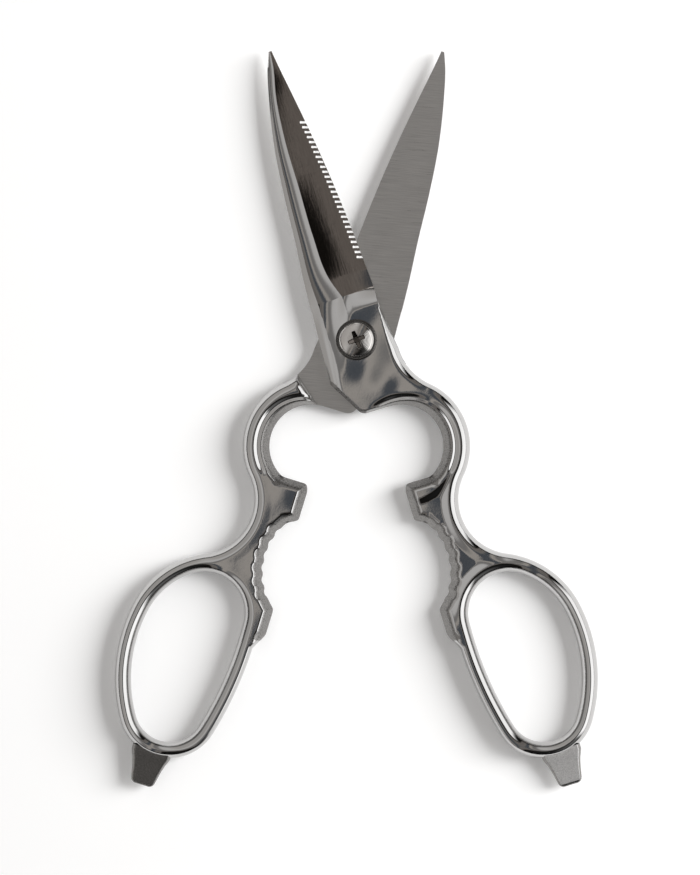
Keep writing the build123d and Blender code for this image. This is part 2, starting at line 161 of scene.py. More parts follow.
class Line:
    """A straight line from a to b."""

    def __init__(self, a, b):
        self.a, self.b = complex(a), complex(b)
        self.length = abs(self.b - self.a)

    def distance(self, p):
        unit = (self.b - self.a) / self.length
        along = np.clip(((p - self.a) * unit.conjugate()).real, 0, self.length)
        return np.abs(p - self.a - unit * along)

    def sample(self, step):
        n = max(1, int(round(self.length / step)))
        return [self.a + (self.b - self.a) * i / n for i in range(n)]


class Arc:
    """An arc about a centre from a to b, the shorter way."""

    def __init__(self, c, a, b):
        self.c, self.a, self.b = complex(c), complex(a), complex(b)
        self.r = abs(self.a - self.c)
        self.start = np.angle(self.a - self.c)
        self.sweep = np.angle((self.b - self.c) / (self.a - self.c))
        self.length = abs(self.sweep) * self.r

    def distance(self, p):
        q = p - self.c
        turned = np.angle(q * np.exp(-1j * (self.start + self.sweep / 2)))
        on = np.abs(turned) <= abs(self.sweep) / 2
        ends = np.minimum(np.abs(p - self.a), np.abs(p - self.b))
        return np.where(on, np.abs(np.abs(q) - self.r), ends)

    def sample(self, step):
        n = max(2, int(round(self.length / step)))
        return [self.c + (self.a - self.c) * np.exp(1j * self.sweep * i / n) for i in range(n)]


def distance(lines, p):
    return np.min([line.distance(p) for line in lines], axis=0)


def sampled(lines, step):
    return np.array([point for line in lines for point in line.sample(step)])


# Plan of a closed half: the rail outside, the finger hole, the grip and the heel
SHOULDER_C = RING_TOP - (SHOULDER_R - RING_TOP_R) * np.exp(1j * SHOULDER_TURN)
SIDE_C = meet(SHOULDER_C, SIDE_R - SHOULDER_R, RING_END, SIDE_R - RING_END_R, -1)
INNER_C = meet(RING_TOP, INNER_R - RING_TOP_R, RING_END, INNER_R - RING_END_R, 1)
NECK_C = meet(JAW, JAW_R + JAW_BAR + NECK_R, SHOULDER_C, SHOULDER_R + RING_BAR + NECK_R, 1)
JAW_OUT = JAW_R + JAW_BAR
flare_across = HALF_WIDTH + FLARE_R - JAW.real
FLARE_C = JAW + flare_across + 1j * sqrt((JAW_OUT + FLARE_R) ** 2 - flare_across**2)
HEEL_EDGE = HALF_WIDTH * STATION_SHARES[0][EDGE] + 1j * (HEEL_LENGTH - EDGE_RUN)
HEEL_SPINE = HALF_WIDTH * STATION_SHARES[0][SPINE] + 1j * (HEEL_LENGTH - SPINE_RUN)


def ring_corners(grow):
    """Where the ring's arcs meet, with every radius grown alike."""
    pairs = (
        (RING_TOP, RING_TOP_R, INNER_C),
        (RING_TOP, RING_TOP_R, SHOULDER_C),
        (SHOULDER_C, SHOULDER_R, SIDE_C),
        (RING_END, RING_END_R, SIDE_C),
        (RING_END, RING_END_R, INNER_C),
    )
    return [toward(c, 2 * c - big, r + grow) for c, r, big in pairs]


corners = ring_corners(RING_BAR)
flare_start = HALF_WIDTH + 1j * FLARE_C.imag
flare_end = toward(JAW, FLARE_C, JAW_OUT)
neck_start = toward(JAW, NECK_C, JAW_OUT)
neck_end = toward(NECK_C, SHOULDER_C, NECK_R)
inner_across = sqrt((INNER_R + RING_BAR) ** 2 - (RAIL_END - INNER_C.imag) ** 2)
rail_end = INNER_C.real - inner_across + 1j * RAIL_END
RAIL = [
    Line(HEEL_EDGE, flare_start),
    Arc(FLARE_C, flare_start, flare_end),
    Arc(JAW, flare_end, neck_start),
    Arc(NECK_C, neck_start, neck_end),
    Arc(SHOULDER_C, neck_end, corners[2]),
    Arc(SIDE_C, corners[2], corners[3]),
    Arc(RING_END, corners[3], corners[4]),
    Arc(INNER_C, corners[4], rail_end),
]
hole = ring_corners(0)
HOLE = [
    Arc(RING_TOP, hole[0], hole[1]),
    Arc(SHOULDER_C, hole[1], hole[2]),
    Arc(SIDE_C, hole[2], hole[3]),
    Arc(RING_END, hole[3], hole[4]),
    Arc(INNER_C, hole[4], hole[0]),
]
BAND_C = circle_through(GRIP_LOW, GRIP_MID, GRIP_TOP)
BAND_R = abs(GRIP_LOW - BAND_C)
BAND = Arc(BAND_C, GRIP_LOW, GRIP_TOP)
tooth_drop = TOOTH_CORNER.imag - JAW.imag
jaw_end = JAW + sqrt(JAW_R**2 - tooth_drop**2) + 1j * tooth_drop
jaw_start = JAW + 1j * JAW_R
foot = FOOT_U + 1j * jaw_start.imag
into_foot = 1 + 0j
up_heel = (HEEL_CORNER - foot) / abs(HEEL_CORNER - foot)
half_corner = abs(np.angle(up_heel / into_foot)) / 2
foot_c = foot + (into_foot + up_heel) / abs(into_foot + up_heel) * FOOT_R / sin(half_corner)
setback = FOOT_R / tan(half_corner)
foot_start, foot_end = foot + into_foot * setback, foot + up_heel * setback
GRIP = [
    Line(rail_end, BUMP_LOW),
    Line(BUMP_LOW, BUMP_TOP),
    Line(BUMP_TOP, GRIP_LOW),
    BAND,
    Line(GRIP_TOP, TOOTH_LOW),
    Line(TOOTH_LOW, TOOTH_TOP),
    Line(TOOTH_TOP, TOOTH_CORNER),
    Line(TOOTH_CORNER, jaw_end),
    Arc(JAW, jaw_end, jaw_start),
    Line(jaw_start, foot_start),
]
HEEL = [Arc(foot_c, foot_start, foot_end), Line(foot_end, HEEL_CORNER)]
BACK = [Line(HEEL_CORNER, HEEL_SPINE)]


# Soft steps that the relief is built from
def part_way(value, start, end):
    """The share of the way from start to end, kept between 0 and 1."""
    return np.clip((value - start) / (end - start), 0, 1)


def smooth(t):
    return t * t * (3 - 2 * t)


def soft_min(a, b, k):
    """The lesser of two heights, with the crease between them rounded over k."""
    h = np.maximum(k - np.abs(a - b), 0) / k
    return np.minimum(a, b) - h * h * k / 4


def rounded(d, width, height, power):
    """Height of a rounding at the distance d from its rim."""
    t = 1 - np.clip(d / width, 0, 1)
    return height * np.sqrt(np.maximum(1 - t**power, 0)) ** 0.95


# Blade
def smooth_row(column, share):
    """A smooth curve through one column of the stations."""
    x, y = STATION_SHARES[:, 0], STATION_SHARES[:, column]
    slope = np.gradient(y, x)
    i = np.clip(np.searchsorted(x, share, side="right") - 1, 0, len(x) - 2)
    w = x[i + 1] - x[i]
    t = np.clip((share - x[i]) / w, 0, 1)
    a, b = slope[i] * w, slope[i + 1] * w
    return (
        y[i] * (2 * t**3 - 3 * t**2 + 1)
        + a * (t**3 - 2 * t**2 + t)
        + y[i + 1] * (3 * t**2 - 2 * t**3)
        + b * (t**3 - t**2)
    )


def station_share(v):
    return part_way(v, HEEL_LENGTH, BLADE_LENGTH)


def blade_at(share):
    """Where the edge, the ridge, the flank and the spine run, at shares of the blade's length."""
    edge, ridge, spine = [HALF_WIDTH * smooth_row(row, share) for row in (EDGE, RIDGE, SPINE)]
    return edge, ridge, spine + (ridge - spine) * FLANK_SHARE, spine


def blade_height(u, v):
    """The blade's steep side, its fluted back up to the ridge, and its hollow-ground bevel."""
    share = station_share(v)
    edge, ridge, flank, spine = blade_at(share)
    height = HEEL_TALL + (TIP_TALL - HEEL_TALL) * share
    size = height / HEEL_TALL
    flank_height = height - size * FLANK_DROP
    low = height - size
    fall = BEVEL_FALL - BEVEL_LESS * part_way(share, *BEVEL_EASES)
    land = np.maximum(EDGE_TALL_SHARE * size, height - (edge - ridge) * fall)
    side = low + (flank_height - low) * (u - spine) / (flank - spine)
    x = np.clip((u - flank) / (ridge - flank), 0, 1)
    flute = 4 * x * (1 - x) * (ridge - flank) * FLUTE_SHARE
    back = flank_height + (height - flank_height) * x - flute
    y = np.clip((u - ridge) / (edge - ridge), 0, 1)
    steep = (height - land) / (edge - ridge)
    hollow_share = HOLLOW_SHARE + HOLLOW_HEEL_SHARE * (1 - part_way(share, *HOLLOW_FADES)) ** 0.8
    hollow = 4 * y * (1 - y) * (edge - ridge) * hollow_share * (1 + steep)
    bevel_height = height + (land - height) * y - hollow
    return np.where(u < flank, side, np.where(u < ridge, back, bevel_height))


def ramp_top(u):
    """Where the ramp from the blade up to the ricasso begins."""
    return HEEL_LENGTH + RAMP_TILT * np.clip(u / RAMP_TILT_HALF, -1, 1)


def heel_rise(u, v):
    """How far the ramp has come up: short and steep at the edge, long and gentle at the spine."""
    gentle = smooth(part_way(u, *RAMP_SOFTENS))
    reach = RAMP_REACH + RAMP_GROWTH * part_way(u, *RAMP_WIDENS) ** 2 + RAMP_GENTLE_REACH * gentle
    t = np.clip((ramp_top(u) - v) / reach, 0, 1)
    return (1 - (1 - t) ** RAMP_POWER) * (1 - gentle) + smooth(t) * gentle


# The notches lie level when the shears are open
NOTCH_TURN = np.exp(-1j * OPEN_HALF)


def notch_places():
    v = FIRST_NOTCH + np.arange(NOTCHES) * NOTCH_STEP
    edge = np.interp(station_share(v), STATION_SHARES[:, 0], STATION_SHARES[:, EDGE])
    return HALF_WIDTH * edge + 1j * v


def cut_notches(h, p):
    """The heights with a notch filed into the edge at each of its places."""
    for place in notch_places():
        near = np.abs(p - place) < 2.2
        q = (p[near] - place) * NOTCH_TURN.conjugate()
        across = np.maximum(np.abs(q.imag) - NOTCH_HALF, 0) * 8
        along = np.maximum(np.abs(q.real) - NOTCH_REACH, 0) * 5
        h[near] = np.minimum(h[near], NOTCH_FLOOR + across + along)
    return h


# Handle
def band_share(p):
    """How far along the scalloped band p lies, seen from the band's centre."""
    return np.angle((p - BAND_C) / (GRIP_LOW - BAND_C)) / BAND.sweep


def scallop_bite(p):
    """How far the scallops bite into the grip beside p."""
    along = band_share(p) * BAND.length
    bite = np.zeros(np.shape(p))
    for share in SCALLOP_SHARES:
        off = np.abs(along - share * BAND.length)
        bite = np.maximum(bite, np.sqrt(np.maximum(SCALLOP_R**2 - off**2, 0)) - SCALLOP_OUT)
    return bite * SCALLOP_GROWTH


def grip_distance(p):
    """Distance to the inside of the grip and the jaw, scallops included."""
    return distance(GRIP, p) - scallop_bite(p) * (np.abs(p - BAND_C) < BAND_R + 6)


def ground_width(p):
    """The ground wall is narrow under the ricasso and widens round the jaw."""
    # Turned back first, so that the jump of the angle lies clear of the wall
    turned = np.degrees(np.angle((p - JAW) * np.exp(-0.35j))) + 20
    t = np.where(p.imag < jaw_end.imag, 1.0, part_way(turned, *GROUND_WIDENS))
    return GROUND_NARROW + GROUND_GROWTH * smooth(t)


def is_ground(p):
    """Where the wall inside the grip and the jaw is left as it was ground."""
    clear = (distance(RAIL, p) > GROUND_CLEAR) & (distance(HOLE, p) > GROUND_CLEAR)
    return (grip_distance(p) < ground_width(p) + 0.02) & clear & (p.imag > GROUND_STOP)


def rail_rounding(u, v):
    """Width of the rail's rounding: slight at the blade, and less where the ring meets the grip."""
    width = BLADE_ROUND + HANDLE_ROUND * smooth(part_way(v, *RAIL_WIDENS))
    at_grip = part_way(u, *RAIL_NARROWS_ACROSS) * part_way(v, *RAIL_NARROWS_DOWN)
    return width * (1 - GRIP_LESS_SHARE * smooth(at_grip))


def panel_depth(p):
    """Depth of the sunk panel between the rail, the ring and the jaw."""
    gap = soft_min(distance(RAIL, p) - RAIL_LIP, distance(HOLE, p) - RING_LIP, 1.4)
    gap = soft_min(gap, np.abs(p - JAW) - JAW_R - JAW_LIP, 1.6)
    t = np.clip(gap / PANEL_RISE, 0, 1)
    fade = part_way(p.imag, *PANEL_BEGINS) * (1 - part_way(p.imag, *PANEL_ENDS))
    return PANEL_DEPTH * (t + smooth(t)) / 2 * smooth(fade)


def jaw_groove(p):
    """Depth of the groove round the jaw, outside its ground wall."""
    turned = np.degrees(np.angle(p - JAW))
    off = np.abs(np.abs(p - JAW) - JAW_R - ground_width(p) - GROOVE_OUT) / GROOVE_HALF
    fade = part_way(turned, *GROOVE_BEGINS) * (1 - part_way(turned, *GROOVE_ENDS))
    return GROOVE_DEPTH * smooth(fade) * np.exp(-(off**2) * 2.6) * (off < 2.5)


def spine_channel(p):
    """Depth of the shallow channel that runs down the ricasso beside the spine."""
    unit = (CHANNEL_TOP - CHANNEL_LOW) / abs(CHANNEL_TOP - CHANNEL_LOW)
    across = ((p - CHANNEL_LOW) * unit.conjugate()).imag
    return CHANNEL_DEPTH * np.exp(-((across / CHANNEL_HALF) ** 2)) * (p.imag > CHANNEL_STOP)


def waviness(p):
    """The slow unevenness that hand polishing leaves."""
    u, v = p.real, p.imag
    return (
        np.sin(u * 0.41 + 1.3) * np.sin(v * 0.33 + 0.4)
        + 0.6 * np.sin(u * 0.83 + v * 0.29 + 2.1)
        + 0.5 * np.sin(v * 0.71 - u * 0.37 + 4.0)
    )


def top_height(p, notched, panel_share=1.0):
    """Height of a half's outer face over the mating plane."""
    u, v = p.real, p.imag
    rail = rounded(distance(RAIL + GRIP[:1], p), rail_rounding(u, v), THICK, RAIL_POWER)
    ring = rounded(distance(HOLE, p), RING_LIP, THICK, RING_POWER)
    h = soft_min(np.full(np.shape(p), THICK), rail, LIP_BLEND)
    h = soft_min(h, ring, LIP_BLEND)
    grip_foot = GROUND_FOOT + GRIP_END_GROWTH * part_way(v, *GRIP_RISES) ** 2
    wall = np.maximum(grip_distance(p), 0) * GROUND_STEEP / ground_width(p)
    h = soft_min(h, grip_foot + wall, GROUND_BLEND)
    h = soft_min(h, HEEL_WALL + distance(HEEL, p), HEEL_BLEND)
    h = soft_min(h, BACK_WALL + distance(BACK, p) * BACK_SLOPE, BACK_BLEND)
    h = h - panel_depth(p) * panel_share - jaw_groove(p) - spine_channel(p)
    for centre, depth, spread in DISHES:
        h = h - depth * np.exp(-(np.abs(p - centre) ** 2) / spread)
    h = h + POLISH_DEPTH * (waviness(p) - POLISH_CREST)
    blade = blade_height(u, np.maximum(v, HEEL_LENGTH))
    h = np.where(v > RAMP_STOP, blade + np.maximum(h - blade, 0) * heel_rise(u, v), h)
    if notched:
        h = cut_notches(h, p)
    return np.maximum(h, INSIDE)


def over_shoulder(p):
    """How far p lies on the blade's side of the shoulder."""
    return ((p - SHOULDER_IN) * SHOULDER_RUN.conjugate()).imag


def in_handle(p):
    """True where the forging has its other side too, below the shoulder."""
    return over_shoulder(p) < 0


def back_height(p):
    """How far the handle's back stands under the mating plane, rounded over at the shoulder."""
    near = 1 - np.clip(-over_shoulder(p) / BACK_ROUND, 0, 1)
    face = top_height(p, False, BACK_PANEL_SHARE) - INSIDE
    return INSIDE + face * np.sqrt(np.maximum(1 - near**2, 0))


# Outline of a half, as closed loops of points
def blade_line(column, count=150):
    """Points up the blade along its edge, ridge or spine."""
    shares = np.linspace(0, 1, count)
    v = HEEL_LENGTH + (BLADE_LENGTH - HEEL_LENGTH) * shares
    return HALF_WIDTH * smooth_row(column, shares) + 1j * v


def grip_line():
    """Points along the grip, with the scallops cut in and the corners eased by averaging."""
    grip, ease = [], []
    for line in GRIP:
        row = np.array(line.sample(0.2 if line is BAND else 0.25))
        if line is BAND:
            row = row + (row - BAND_C) / np.abs(row - BAND_C) * scallop_bite(row)
        grip.append(row)
        ease.append(np.full(len(row), 0.35 if line is BAND else 1.0))
    grip, ease = np.concatenate(grip), np.concatenate(ease)
    for _ in range(9):
        middle = (grip[:-2] + 2 * grip[1:-1] + grip[2:]) / 4
        grip[1:-1] += (middle - grip[1:-1]) * ease[1:-1]
    return grip


def counter_clockwise(loop):
    area = np.sum((np.conj(loop) * np.roll(loop, -1)).imag)
    return loop if area > 0 else loop[::-1]


def circle(radius, count):
    return radius * np.exp(1j * np.linspace(0, 2 * pi, count, endpoint=False))


def chain(points):
    return [Line(a, b) for a, b in zip(points, points[1:])]


rail_points, heel_points = sampled(RAIL, 0.4), sampled(HEEL + BACK, 0.35)
blade_points = [blade_line(SPINE), blade_line(EDGE)[::-1]]
OUTER = np.concatenate([rail_points, grip_line(), heel_points, [HEEL_SPINE], *blade_points])
OUTER = counter_clockwise(OUTER)
INNER = counter_clockwise(sampled(HOLE, 0.35))[::-1]
coarse_points = [*blade_line(SPINE, 26), *blade_line(EDGE, 26)[::-1]]
BLADE = chain([HEEL_SPINE, *coarse_points, HEEL_EDGE])


def outer_distance(p):
    """Distance to the outer outline, the scalloped band included."""
    bare = distance(RAIL + GRIP + HEEL + BACK + BLADE, p)
    share = band_share(p)
    beyond = np.where((share > 0) & (share < 1), 0.0, 99.0)
    return np.minimum(bare, np.abs(np.abs(p - BAND_C) - BAND_R - scallop_bite(p)) + beyond)


def rim_distance(p):
    return np.minimum(outer_distance(p), distance(HOLE, p))


def inside_polygon(points, loop):
    """Whether each point lies within a closed loop, by the sides that it has on its right."""
    order = np.argsort(points.imag)
    u, v = points.real[order], points.imag[order]
    hits = np.zeros(len(points), dtype=int)
    for a, b in zip(loop, np.roll(loop, -1)):
        low, high = (a, b) if a.imag < b.imag else (b, a)
        if low.imag == high.imag:
            continue
        i, j = np.searchsorted(v, (low.imag, high.imag), side="right")
        x = low.real + (v[i:j] - low.imag) * (high.real - low.real) / (high.imag - low.imag)
        hits[i:j] += u[i:j] < x
    result = np.zeros(len(points), dtype=bool)
    result[order] = hits % 2 == 1
    return result


def in_steel(points):
    return inside_polygon(points, OUTER) & ~inside_polygon(points, INNER)


def inward(loop):
    """Unit normals to the left of a loop's run, at its points."""
    run = np.roll(loop, -1) - np.roll(loop, 1)
    return 1j * run / np.abs(run)


# Points that the faces are built on
def ring_points():
    """Rings inside the two outlines, closest together at the rim."""
    rings = []
    for depth in (0.03, 0.12, 0.27, 0.47, 0.72, 1.0, 1.3, 1.62, 1.9, 2.1, 2.3, 2.6, 2.9):
        for loop in (OUTER, INNER):
            ring = loop + inward(loop) * depth
            rings.append(ring[rim_distance(ring) > depth - 0.02])
    return np.concatenate(rings)


def groove_rows():
    """Rows along the groove round the jaw."""
    turned = np.exp(1j * np.radians(np.linspace(-54, 118, 160)))
    out = JAW_R + ground_width(JAW + JAW_R * turned) + GROOVE_OUT
    return [JAW + (out + off) * turned for off in np.linspace(-1.3, 1.3, 13)]


def panel_rows():
    """Rows along the rise of the sunk panel beside the neck, the jaw and the ring."""
    rows = []
    borders = ((NECK_C, NECK_R + RAIL_LIP), (JAW, JAW_R + JAW_LIP), (RING_TOP, RING_TOP_R + RING_LIP))
    for off in (-0.05, 0.15, 0.4, 0.7, 1.0, 1.4, 1.8, 2.2, 2.6):
        for centre, radius in borders:
            row = centre + circle(radius + off, int(radius * 18))
            outside = row + (row - centre) / np.abs(row - centre) * 0.3
            rows.append(row[(panel_depth(row) > 0) | (panel_depth(outside) > 0)])
    return rows


def blade_rows():
    """Rows up the blade, beside its ridge and flank and over its bevel."""
    rows = []
    share = np.linspace(0, 1, 260)
    up = 1j * (HEEL_LENGTH + (BLADE_LENGTH - HEEL_LENGTH) * share)
    edge, ridge, flank, _ = blade_at(share)
    for off in (-0.12, -0.03, 0.03, 0.12):
        rows += [ridge + off + up, flank + off + up]
    for t in np.linspace(0.08, 0.95, 14):
        rows.append(ridge + (edge - ridge) * t + up)
    return rows


def ricasso_rows():
    """Rows across the ramp, along the spine's channel and round the seat."""
    rows = []
    u = np.linspace(-9.2, 8.5, 70)
    falls = (-0.12, -0.03, 0.03, 0.12, 0.3, 0.55, 0.85, 1.2, 1.6, 2.0, 2.5, 3.0, 3.6, 4.2, 4.8, 5.4)
    rows += [u + 1j * (ramp_top(u) - fall) for fall in falls]
    for off in np.linspace(-1.9, 1.9, 15):
        rows.append(np.linspace(CHANNEL_TOP, CHANNEL_LOW, 80) + off)
    for radius in (5.5, 5.6, 5.8, 6.1, 6.5):
        rows.append(circle(radius, 100))
    return rows


def crease_points():
    creases = np.concatenate(groove_rows() + panel_rows() + blade_rows() + ricasso_rows())
    creases = creases[outer_distance(creases) > 0.1]
    return creases[in_steel(creases)]


def grid_points():
    """A plain grid away from the rims, every other row shifted by half a step."""
    step = 0.5
    across, up = np.arange(-10.5, 38, step), np.arange(-122, 80.5, step)
    shift = step / 2 * (np.arange(len(up)) % 2)
    grid = (across[None, :] + shift[:, None] + 1j * up[:, None]).ravel()
    grid = grid[in_steel(grid)]
    return grid[rim_distance(grid) > 3.0]


def notch_points():
    """A fine patch over each notch."""
    across, along = np.linspace(-0.42, 0.42, 15), np.linspace(-1.75, 1.75, 24)
    patch = ((along[:, None] + 1j * across[None, :]) * NOTCH_TURN).ravel()
    points = np.concatenate([place + patch for place in notch_places()])
    points = points[inside_polygon(points, OUTER)]
    return points[outer_distance(points) > 0.03]


def thin(points, cell=0.045):
    """One point in each cell of a fine grid."""
    keys = np.round(points.real / cell) + 1j * np.round(points.imag / cell)
    _, first = np.unique(keys, return_index=True)
    return points[np.sort(first)]


def field_points(notched):
    """All points within the outline and outside the seat."""
    points = [notch_points()] if notched else []
    points = np.concatenate(points + [ring_points(), crease_points(), grid_points()])
    return thin(points[np.abs(points) > SEAT_R + SEAT_EASE + 0.02])


def triangulate(points, loops):
    """Triangles over the points, within the first loop and outside the others."""
    coords, edges = [], []
    for loop in loops:
        n = len(coords)
        coords += [(z.real, z.imag) for z in loop]
        edges += [(n + i, n + (i + 1) % len(loop)) for i in range(len(loop))]
    coords += [(z.real, z.imag) for z in points]
    made = delaunay_2d_cdt([Vector(c) for c in coords], edges, [], 0, 1e-6)
    flat = np.array([v.x + 1j * v.y for v in made[0]])
    tris = np.array([f for f in made[2] if len(f) == 3])
    centres = flat[tris].mean(axis=1)
    keep = inside_polygon(centres, loops[0])
    for loop in loops[1:]:
        keep &= ~inside_polygon(centres, loop)
    tris = tris[keep]
    a, b, c = flat[tris[:, 0]], flat[tris[:, 1]], flat[tris[:, 2]]
    turned = ((b - a) * np.conj(c - a)).imag > 0
    tris[turned] = tris[turned][:, ::-1]
    return flat, tris


def surface_normals(p, height, e=0.02):
    """Normals of a height over the plan, from heights a hair to each side."""
    du = (height(p + e) - height(p - e)) / (2 * e)
    dv = (height(p + 1j * e) - height(p - 1j * e)) / (2 * e)
    n = np.stack([-du, -dv, np.ones(len(p))], axis=1)
    return n / np.linalg.norm(n, axis=1)[:, None]


def face_normals(flat, height):
    """Normals of a half's face, those on its rims taken from just within them."""
    normals = surface_normals(flat, height)
    for loop, gap in ((OUTER, outer_distance(flat)), (INNER, distance(HOLE, flat))):
        near = np.where(gap < 0.025)[0]
        order = np.argmin(np.abs(flat[near][:, None] - loop[None, :]), axis=1)
        close = np.abs(flat[near] - loop[order]) < 0.3
        near, order = near[close], order[close]
        normals[near] = surface_normals(flat[near] + inward(loop)[order] * 0.05, height)
    return normals


# Building of pieces
POLISHED, BEVEL, GROUND, INNER_FACE, SANDED, NOTCH, SEAT = range(7)


class Shell:
    """Vertices, faces, normals and materials of one piece, gathered sheet by sheet."""

    def __init__(self):
        self.verts, self.normals, self.faces, self.mats = [], [], [], []
        self.count = 0

    def add(self, verts, normals, faces, mats):
        self.verts.append(np.asarray(verts, dtype=float))
        self.normals.append(np.asarray(normals, dtype=float))
        self.faces += [tuple(int(i) + self.count for i in f) for f in faces]
        self.mats += list(mats)
        self.count += len(verts)

    def build(self, name, place, materials):
        verts, normals = np.concatenate(self.verts), np.concatenate(self.normals)
        flat = verts[:, :2].copy()
        world = place(verts) * MM
        turned = place(verts + normals) * MM - world
        mesh = bpy.data.meshes.new(name)
        mesh.from_pydata([tuple(v) for v in world], [], self.faces)
        for material in materials:
            mesh.materials.append(material)
        mesh.polygons.foreach_set("material_index", self.mats)
        mesh.polygons.foreach_set("use_smooth", [True] * len(self.faces))
        layer = mesh.uv_layers.new(name="closed")
        index = np.zeros(len(mesh.loops), dtype=np.int32)
        mesh.loops.foreach_get("vertex_index", index)
        layer.data.foreach_set("uv", (flat[index] * 0.01).ravel())
        turned /= np.linalg.norm(turned, axis=1)[:, None]
        mesh.normals_split_custom_set_from_vertices([tuple(n) for n in turned])
        mesh.update()
        piece = bpy.data.objects.new(name, mesh)
        bpy.context.scene.collection.objects.link(piece)
        return piece


def raised(loop, z):
    """Plan points at one height, or each at its own."""
    return np.column_stack([loop.real, loop.imag, np.broadcast_to(z, len(loop))])


def band_faces(rows, count, first=0):
    """Quads between rows of points that each close round."""
    faces = []
    for r in range(rows - 1):
        for k in range(count):
            a, b = first + r * count + k, first + r * count + (k + 1) % count
            faces.append((a, b, b + count, a + count))
    return faces


def flipped(faces):
    return [(a, d, c, b) for a, b, c, d in faces]


def add_strip(shell, loop, low, high, normals, mat, closed=True):
    """A wall standing on a loop, from its low heights to its high ones."""
    verts = np.concatenate([raised(loop, low), raised(loop, high)])
    faces = band_faces(2, len(loop))[: None if closed else -1]
    shell.add(verts, np.concatenate([normals, normals]), faces, [mat] * len(faces))


# Halves
def add_outer_face(shell, points, notched, height):
    """The outer face, whose bevel, ground walls and notches have materials of their own."""
    seat = circle(SEAT_R + SEAT_EASE, SEAT_SIDES)
    flat, tris = triangulate(points, [OUTER, INNER, seat[::-1]])
    centres = flat[tris].mean(axis=1)
    ridge = HALF_WIDTH * smooth_row(RIDGE, station_share(centres.imag))
    mats = np.full(len(tris), POLISHED)
    mats[(centres.imag > HEEL_LENGTH) & (centres.real > ridge)] = BEVEL
    mats[is_ground(centres)] = GROUND
    mats[distance(HEEL, centres) < 0.9] = GROUND
    if notched:
        mats[top_height(centres, False) - height(centres) > 0.03] = NOTCH
    shell.add(raised(flat, height(flat)), face_normals(flat, height), tris, mats)


def add_back(shell, points, bore):
    """Back: flat behind the blade and the ricasso, forged like the front below the shoulder."""
    shoulder = (SHOULDER_OUT + SHOULDER_IN) / 2 + SHOULDER_RUN * np.linspace(-9, 9, 61)
    shoulder = shoulder[inside_polygon(shoulder, OUTER)]
    rows = [points, shoulder, shoulder + SHOULDER_UP * 0.001]
    for off in (0.04, 0.1, 0.2, 0.35, 0.55, 0.8, 1.1, 1.4, 1.8, 2.2, 2.5):
        row = shoulder - SHOULDER_UP * off
        rows.append(row[inside_polygon(row, OUTER) & (outer_distance(row) > 0.1)])
    points = thin(np.concatenate(rows), 0.0005)
    flat, tris = triangulate(points, [OUTER, INNER, circle(bore, 96)[::-1]])
    centres = flat[tris].mean(axis=1)
    low = in_handle(centres)
    normals = face_normals(flat, back_height) * (1, 1, -1)
    mats = np.where(is_ground(centres[low]), GROUND, POLISHED)
    shell.add(raised(flat, -back_height(flat)), normals, tris[low][:, ::-1], mats)
    down = np.tile((0, 0, -1.0), (len(flat), 1))
    mats = np.full(int(np.sum(~low)), INNER_FACE)
    shell.add(raised(flat, INSIDE), down, tris[~low][:, ::-1], mats)
    step = shoulder[np.argsort((shoulder * SHOULDER_RUN.conjugate()).real)]
    out = np.tile((SHOULDER_UP.real, SHOULDER_UP.imag, 0), (len(step), 1))
    add_strip(shell, step, -INSIDE, INSIDE, out, GROUND, closed=False)


def add_seat(shell, depth, bore, height):
    """Seat of the screw or the nut: an eased lip, a wall, a floor and a bore."""
    lip, rim = circle(SEAT_R + SEAT_EASE, SEAT_SIDES), circle(SEAT_R, SEAT_SIDES)
    inner = circle(bore, SEAT_SIDES)
    wall_top, floor_level = THICK - SEAT_LIP, THICK - depth
    outward = raised(rim, 0) / SEAT_R
    slope = -outward * 0.7 + np.array((0, 0, 0.7))
    blend = slope + np.array((0, 0, 0.5))
    faces = flipped(band_faces(2, SEAT_SIDES))
    mats = [SEAT] * SEAT_SIDES
    lip_verts = np.concatenate([raised(rim, wall_top), raised(lip, height(lip))])
    shell.add(lip_verts, np.concatenate([slope, blend]), faces, mats)
    add_strip(shell, rim[::-1], floor_level, wall_top, -outward[::-1], SEAT)
    floor_verts = np.concatenate([raised(inner, floor_level), raised(rim, floor_level)])
    shell.add(floor_verts, np.tile((0, 0, 1.0), (2 * SEAT_SIDES, 1)), faces, mats)
    add_strip(shell, inner[::-1], INSIDE, floor_level, -outward[::-1], SEAT)


def forge_half(side, notched):
    shell = Shell()
    points = field_points(notched)

    def height(p):
        return top_height(p, notched)

    add_outer_face(shell, points, notched, height)
    add_back(shell, points, BORE_R[side])
    for loop in (OUTER, INNER):
        low = np.where(in_handle(loop), -back_height(loop), INSIDE)
        add_strip(shell, loop, low, height(loop), raised(-inward(loop), 0), POLISHED)
    add_seat(shell, SEAT_DEPTH[side], BORE_R[side], height)
    add_driver_tip(shell)
    return shell


# Screwdriver tip: where it ends, its width and thickness at distances from that end, and a quarter
# of its section in shares of them
DRIVER_END = 20.0 - 129.3j
DRIVER_ROWS = [
    (0.0, 3.9, 0.3),
    (0.10, 4.6, 0.7),
    (0.35, 5.4, 1.2),
    (0.75, 6.1, 1.6),
    (1.3, 6.5, 1.8),
    (2.4, 6.95, 2.1),
    (4.0, 7.6, 2.6),
    (5.4, 8.3, 3.0),
    (6.6, 9.0, 3.5),
    (7.6, 9.9, 4.0),
    (8.6, 10.6, 4.4),
    (10.0, 10.6, 4.8),
]
SECTION_SHARES = [(1.0, 0.12), (1.0, 0.38), (0.975, 0.52), (0.93, 0.74), (0.895, 0.9), (0.86, 0.975)]
SECTION_SHARES += [(across, 1.0) for across in (0.82, 0.78, 0.60, 0.40, 0.25, 0.08)]


